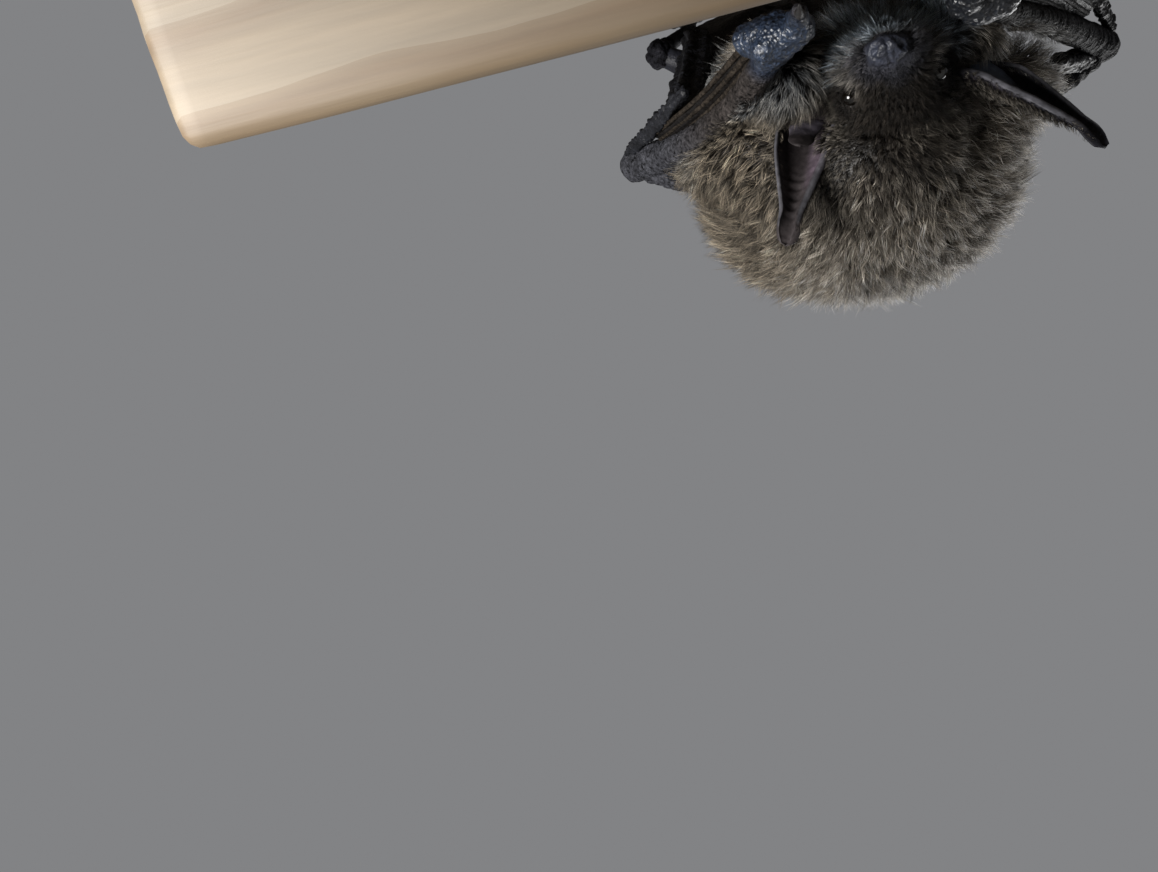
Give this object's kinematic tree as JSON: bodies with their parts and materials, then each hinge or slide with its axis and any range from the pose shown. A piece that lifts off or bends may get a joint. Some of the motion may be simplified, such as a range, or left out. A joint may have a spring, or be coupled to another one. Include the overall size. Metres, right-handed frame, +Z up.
{
  "type": "brown bat model",
  "caption": "Life-size brown bat roosting head down on the side of a cut joist, wings folded, on a flat display base with two rods",
  "frame": {"origin": "bottom centre of the display base, on the surface it stands on", "axes": "+Z is up, -Y is the front, where the bat hangs with its back to the viewer, and +X is the bat's left"},
  "size_m": [0.13, 0.112, 0.244],
  "materials": {
    "fur": "dense woolly fur, grizzled grey-brown, paler on the belly",
    "face_skin": "bare dark skin with short hair, satin",
    "ear_skin": "thin dark leathery skin, satin",
    "eye": "wet black gloss",
    "limb_skin": "blue-grey scaly skin, satin",
    "wing_membrane": "blackish wrinkled skin, satin",
    "claw": "dark horn, polished",
    "joist_wood": "planed softwood, matt",
    "stand_wood": "dark stained hardwood, satin",
    "stand_steel": "brushed"
  },
  "bodies": {
    "root": {"ear_left": "ear_skin", "ear_right": "ear_skin", "eye_left": "eye", "eye_right": "eye", "finger_3_left": "limb_skin", "finger_3_right": "limb_skin", "finger_4_left": "limb_skin", "finger_4_right": "limb_skin", "finger_5_left": "limb_skin", "finger_5_right": "limb_skin", "foot_left": "limb_skin", "foot_right": "limb_skin", "forearm_left": "limb_skin", "forearm_right": "limb_skin", "head": "fur", "lower_jaw": "face_skin", "neck": "fur", "perch_joist": "joist_wood", "shin_left": "limb_skin", "shin_right": "limb_skin", "stand_base": "stand_wood", "stand_rod_left": "stand_steel", "stand_rod_right": "stand_steel", "tail": "limb_skin", "tail_membrane_left": "wing_membrane", "tail_membrane_right": "wing_membrane", "thigh_left": "fur", "thigh_right": "fur", "thumb_claw_left": "claw", "thumb_claw_right": "claw", "thumb_left": "limb_skin", "thumb_right": "limb_skin", "tragus_left": "ear_skin", "tragus_right": "ear_skin", "trunk": "fur", "upper_arm_left": "limb_skin", "upper_arm_right": "limb_skin", "wing_folds_left": "wing_membrane", "wing_folds_right": "wing_membrane", "wing_membrane_left": "wing_membrane", "wing_membrane_right": "wing_membrane", "wrist_left": "limb_skin", "wrist_right": "limb_skin"}
  },
  "joints": []
}
